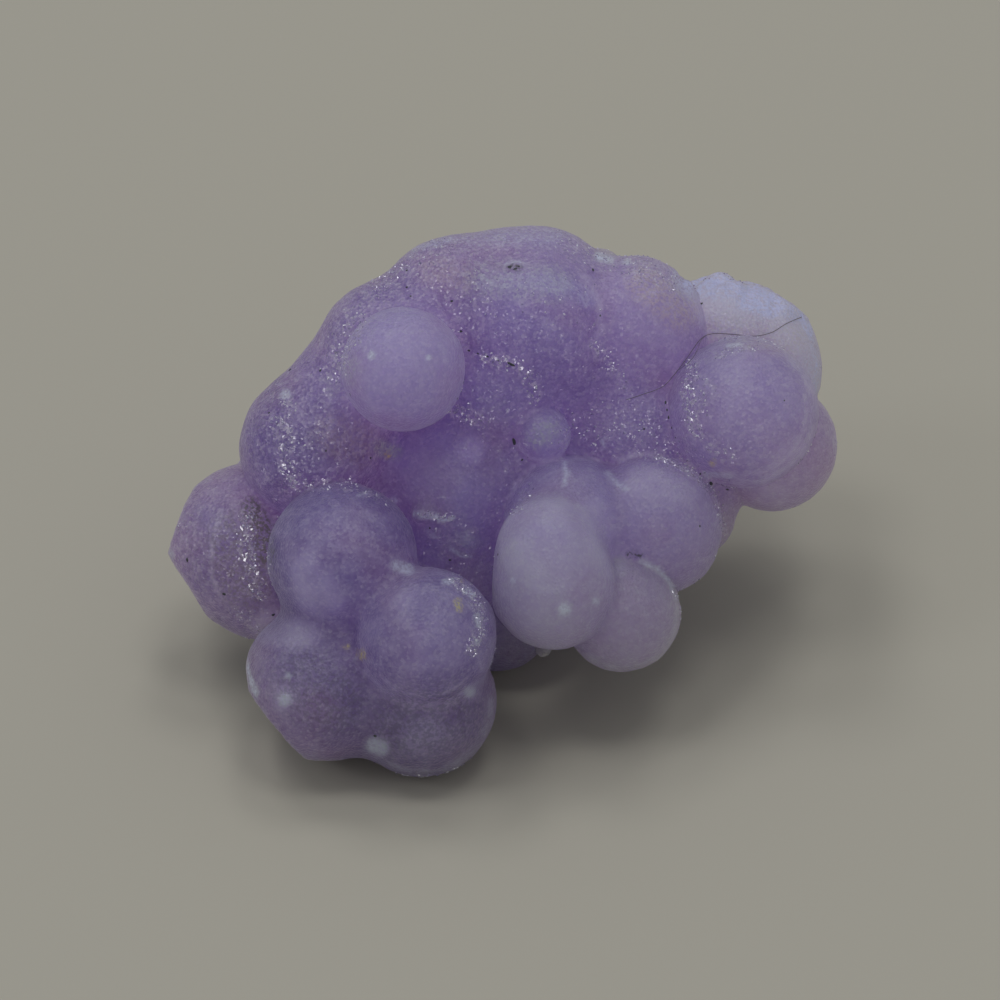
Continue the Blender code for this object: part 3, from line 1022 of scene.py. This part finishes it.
# Each grain on the show face: (right, up, length, width, turn in degrees).
SHOW_GRAINS = [
    (0.38, 9.30, 0.16, 0.10, 0),
    (0.60, 9.22, 0.20, 0.09, 25),
    (0.74, 9.32, 0.12, 0.08, -20),
    (-3.72, 9.16, 0.11, 0.09, 0),
    (-3.72, 8.48, 0.11, 0.09, 40),
    (-3.56, 8.12, 0.09, 0.08, 0),
    (-1.92, 7.92, 0.12, 0.09, 20),
    (-1.56, 6.72, 0.12, 0.10, 0),
    (-1.24, 5.96, 0.13, 0.08, -20),
    (-0.88, 5.84, 0.12, 0.07, -20),
    (-0.50, 5.72, 0.14, 0.07, -15),
    (-0.08, 5.56, 0.12, 0.06, -15),
    (0.45, 5.40, 0.34, 0.12, -20),
    (-7.16, 5.16, 0.12, 0.10, 0),
    (-8.40, 5.20, 0.13, 0.12, 0),
    (-9.20, 3.48, 0.09, 0.08, 0),
    (-5.16, 1.68, 0.11, 0.08, 30),
    (-6.92, 1.96, 0.08, 0.08, 0),
    (-2.80, -1.12, 0.10, 0.06, 70),
    (0.56, 2.32, 0.34, 0.14, 100),
    (0.88, 1.60, 0.12, 0.08, 50),
    (4.00, 7.36, 0.10, 0.07, 60),
    (3.72, 9.20, 0.16, 0.12, 60),
    (8.12, 7.92, 0.14, 0.09, 0),
    (5.76, 2.84, 0.09, 0.09, 0),
    (6.62, 3.90, 0.14, 0.08, 80),
    (6.68, 3.60, 0.12, 0.07, 100),
    (6.74, 3.30, 0.14, 0.08, 100),
    (6.86, 2.90, 0.12, 0.07, 105),
    (7.02, 2.50, 0.10, 0.06, 110),
    (7.48, 1.55, 0.10, 0.07, 130),
    (8.00, 1.05, 0.14, 0.09, 145),
    (8.44, 0.66, 0.28, 0.14, 145),
    (9.15, 0.42, 0.18, 0.07, 170),
    (11.32, 3.96, 0.07, 0.07, 0),
    (-12.52, -2.40, 0.18, 0.12, 80),
    (-11.04, -3.76, 0.14, 0.12, 0),
    (-9.08, -4.60, 0.16, 0.12, 40),
    (-2.00, -2.40, 0.12, 0.08, 0),
    (-4.96, -9.36, 0.14, 0.12, 0),
    (-0.08, -2.16, 0.10, 0.08, 90),
    (7.96, -1.04, 0.10, 0.08, 90),
]
HIDDEN_GRAINS = 30
SMALLEST_HIDDEN, LARGEST_HIDDEN = 0.10, 0.30
GRAIN_THICKNESS = 0.45  # as a share of its width


def clay():
    """Dried clay with rock dust: matt, nearly black, with a grey-green cast."""
    material, tree, place = blank_material("dried_clay_grains")
    specks = add_node(
        tree, "ShaderNodeTexNoise", {"Scale": 1 / (0.08 * MM), "Detail": 2, "Vector": place}
    ).outputs["Fac"]
    damp = linear("1e1c24")
    dusty = linear("5a5e62")
    body = add_node(
        tree,
        "ShaderNodeMix",
        {"data_type": "RGBA", FACTOR: specks, FIRST_COLOUR: damp, SECOND_COLOUR: dusty},
    ).outputs[MIXED]
    shader = add_node(
        tree, "ShaderNodeBsdfPrincipled", {"Base Color": body, "Roughness": 0.85, "IOR": 1.5}
    ).outputs["BSDF"]
    add_node(tree, "ShaderNodeOutputMaterial", {"Surface": shader})
    return material


def on_show_face(tree, right, up):
    """The place and normal of the skin behind a (right, up) point of the show face, in metres."""
    start = Vector((SHOW_MIDDLE + to_frame((right, up, 12))) * MM)
    place, normal, _, _ = tree.ray_cast(start, Vector(to_frame((0, 0, -1))))
    return place, normal


def add_grain(bm, place, normal, along, length, width):
    """One flattened, slightly crooked grain lying on the skin."""
    across = normal.cross(along).normalized()
    along = across.cross(normal).normalized()
    made = bmesh.ops.create_icosphere(bm, subdivisions=2, radius=1)
    for vert in made["verts"]:
        crooked = 1 + 0.35 * noise.noise(vert.co * 1.7 + place / MM)
        right, up, near = vert.co * crooked
        offset = along * right * length + across * up * width + normal * near * width * GRAIN_THICKNESS
        vert.co = place + offset * (0.5 * MM)


stone_surface = surface_tree(stone_mesh)
grain_mesh = bmesh.new()
for right, up, length, width, turn in SHOW_GRAINS:
    place, normal = on_show_face(stone_surface, right, up)
    if place is None:
        print("no skin behind grain", right, up)
        continue
    angle = math.radians(turn)
    along = Vector(to_frame((math.cos(angle), math.sin(angle), 0)))
    add_grain(grain_mesh, place, normal, along, length, width)
random_picks = np.random.default_rng(5)
skin_points = points_of(stone_mesh)
valley_depth = np.empty(len(skin_points), np.float32)
stone_mesh.attributes["valley"].data.foreach_get("value", valley_depth)
behind = to_show(skin_points)[:, 2] < -3.5
off_the_table = skin_points[:, 2] > 0.6
in_creases = np.flatnonzero(behind & (valley_depth > 0.75) & off_the_table)
for index in random_picks.choice(in_creases, HIDDEN_GRAINS, replace=False):
    vert = stone_mesh.vertices[int(index)]
    length = float(random_picks.uniform(SMALLEST_HIDDEN, LARGEST_HIDDEN))
    along = Vector(random_picks.normal(size=3).tolist())
    add_grain(grain_mesh, vert.co.copy(), vert.normal.copy(), along, length, length * 0.6)
dirt_mesh = bpy.data.meshes.new("clay_grains")
grain_mesh.to_mesh(dirt_mesh)
grain_mesh.free()
dirt_mesh.shade_smooth()
dirt_mesh.materials.append(clay())
dirt = bpy.data.objects.new("clay_grains", dirt_mesh)
bpy.context.scene.collection.objects.link(dirt)
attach(dirt, "root")

# The loose fibre
# A grey-brown cotton fibre that settled on the stone, with a short frayed strand beside it. It lies
# over the right-hand balls and spans the gaps between them.

FIBRE_THICKNESS = 0.030
FIBRE_STEPS = 160
TAUTENING_ROUNDS = 200
FRAYED_PATH = [
    (7.18, 5.22),
    (7.66, 5.62),
    (7.92, 6.05),
    (8.06, 6.40),
    (8.30, 6.62),
]
FIBRE_PATH = [
    (5.04, 4.00),
    (5.64, 4.20),
    (6.48, 4.52),
    (6.96, 5.00),
    (7.48, 5.68),
    (8.04, 6.44),
    (8.52, 6.68),
    (9.24, 6.68),
    (10.24, 6.60),
    (10.96, 6.76),
    (11.56, 7.12),
    (12.20, 7.40),
]


def smooth_path(path, count):
    """Points evenly along a smooth curve through the given ones."""
    ends = [path[0], *path, path[-1]]
    found = []
    for step in range(count):
        place = step / (count - 1) * (len(path) - 1)
        first = min(int(place), len(path) - 2)
        share = place - first
        a, b, c, d = (np.array(ends[first + offset]) for offset in range(4))
        turn = (2 * a - 5 * b + 4 * c - d) * share**2 + (3 * b - a - 3 * c + d) * share**3
        found.append(0.5 * (2 * b + (c - a) * share + turn))
    return found


def lay_fibre(tree, path):
    """A strand's middle line, in metres: it touches the high places and spans the low ones."""
    flat = smooth_path(path, FIBRE_STEPS)
    near = []
    for right, up in flat:
        place, _ = on_show_face(tree, right, up)
        near.append(to_show(np.array([place]) / MM)[0][2] + FIBRE_THICKNESS * 1.5)
    lowest = np.array(near)
    height = lowest.copy()
    for _ in range(TAUTENING_ROUNDS):
        height[1:-1] = np.maximum(lowest[1:-1], (height[:-2] + height[2:]) / 2)
    return [
        Vector((SHOW_MIDDLE + to_frame((right, up, up_near))) * MM)
        for (right, up), up_near in zip(flat, height)
    ]


def add_tube(bm, line, radius, sides=6):
    """Adds a closed tube round a line of points."""
    rings = []
    across = Vector((0, 0, 1))
    for index, place in enumerate(line):
        along = (line[min(index + 1, len(line) - 1)] - line[max(index - 1, 0)]).normalized()
        across = (across - along * across.dot(along)).normalized()
        other = along.cross(across)
        ring = []
        for side in range(sides):
            angle = side / sides * math.tau
            ring.append(bm.verts.new(place + (across * math.cos(angle) + other * math.sin(angle)) * radius))
        rings.append(ring)
    for first, second in zip(rings, rings[1:]):
        for side in range(sides):
            after = (side + 1) % sides
            bm.faces.new((first[side], first[after], second[after], second[side]))
    bm.faces.new(reversed(rings[0]))
    bm.faces.new(rings[-1])


def dyed_fibre():
    """Dyed cotton: one dull grey-brown strand, slightly lighter where it is worn."""
    material, tree, place = blank_material("dyed_cotton_fibre")
    wear = add_node(
        tree, "ShaderNodeTexNoise", {"Scale": 1 / (0.5 * MM), "Detail": 2, "Vector": place}
    ).outputs["Fac"]
    fresh = linear("4a4452")
    worn = linear("7d7480")
    body = add_node(
        tree,
        "ShaderNodeMix",
        {"data_type": "RGBA", FACTOR: wear, FIRST_COLOUR: fresh, SECOND_COLOUR: worn},
    ).outputs[MIXED]
    shader = add_node(
        tree, "ShaderNodeBsdfPrincipled", {"Base Color": body, "Roughness": 0.7, "Sheen Weight": 0.2}
    ).outputs["BSDF"]
    add_node(tree, "ShaderNodeOutputMaterial", {"Surface": shader})
    return material


strands = bmesh.new()
add_tube(strands, lay_fibre(stone_surface, FIBRE_PATH), FIBRE_THICKNESS * MM / 2)
add_tube(strands, lay_fibre(stone_surface, FRAYED_PATH), FIBRE_THICKNESS * MM / 3)
bmesh.ops.recalc_face_normals(strands, faces=strands.faces)
fibre_mesh = bpy.data.meshes.new("loose_fibre")
strands.to_mesh(fibre_mesh)
strands.free()
fibre_mesh.shade_smooth()
fibre_mesh.materials.append(dyed_fibre())
fibre = bpy.data.objects.new("loose_fibre", fibre_mesh)
bpy.context.scene.collection.objects.link(fibre)
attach(fibre, "root")

# The studio
# A plain pale tabletop, four even ceiling panels high above the stone, a small window light on the
# left that flashes on the crystals, and an even surround. None of it belongs to the specimen.

TABLE_SIDE = 3.0
CEILING = 0.75
PANEL_SIDE, PANEL_POWER = 0.20, 0.48
WINDOW_SIDE, WINDOW_POWER = 0.13, 0.30
SURROUND_STRENGTH = 0.33
VIEW_DISTANCE = 0.4
VIEW_WIDTH = 0.04


def matt_table():
    """Pale laminate: matt, grey-beige and without a grain."""
    material = bpy.data.materials.new("matt_pale_laminate")
    material.use_nodes = True
    shader = material.node_tree.nodes["Principled BSDF"]
    shader.inputs["Base Color"].default_value = linear("bfbbab")
    shader.inputs["Roughness"].default_value = 0.8
    return material


def softbox(name, place, side, power, colour):
    """A square light that points at the stone."""
    data = bpy.data.lights.new(name, "AREA")
    data.shape = "SQUARE"
    data.size = side
    data.energy = power
    data.color = linear(colour)[:3]
    light = bpy.data.objects.new(name, data)
    light.location = place
    aim = Vector(SHOW_MIDDLE * MM) - light.location
    light.rotation_euler = aim.to_track_quat("-Z", "Y").to_euler()
    bpy.context.scene.collection.objects.link(light)


table_mesh = bpy.data.meshes.new("tabletop")
edge = TABLE_SIDE / 2
table_corners = [(-edge, -edge, 0), (edge, -edge, 0), (edge, edge, 0), (-edge, edge, 0)]
table_mesh.from_pydata(table_corners, [], [(0, 1, 2, 3)])
table_mesh.materials.append(matt_table())
tabletop = bpy.data.objects.new("tabletop", table_mesh)
bpy.context.scene.collection.objects.link(tabletop)

for right in (-0.24, 0.12):
    for away in (-0.06, 0.30):
        softbox("ceiling_panel", (right, away, CEILING), PANEL_SIDE, PANEL_POWER, "fcfcff")
softbox("window", (-0.60, -0.20, 0.45), WINDOW_SIDE, WINDOW_POWER, "eef2ff")

world = bpy.data.worlds.new("even_surround")
world.use_nodes = True
surround = world.node_tree.nodes["Background"]
surround.inputs["Color"].default_value = linear("f2f4fa")
surround.inputs["Strength"].default_value = SURROUND_STRENGTH
bpy.context.scene.world = world

camera_data = bpy.data.cameras.new("camera")
camera_data.sensor_width = 36
camera_data.lens = camera_data.sensor_width * VIEW_DISTANCE / VIEW_WIDTH
camera_data.clip_start = 0.01
camera = bpy.data.objects.new("camera", camera_data)
camera.location = Vector(SHOW_MIDDLE * MM + to_frame((0, 0, 1)) * VIEW_DISTANCE)
camera.rotation_euler = Vector(to_frame((0, 0, -1))).to_track_quat("-Z", "Y").to_euler()
bpy.context.scene.collection.objects.link(camera)
bpy.context.scene.camera = camera
bpy.context.scene.view_settings.view_transform = "Standard"
bpy.context.scene.cycles.max_bounces = 4
bpy.context.scene.cycles.diffuse_bounces = 2
bpy.context.scene.cycles.glossy_bounces = 2
bpy.context.scene.cycles.transmission_bounces = 0
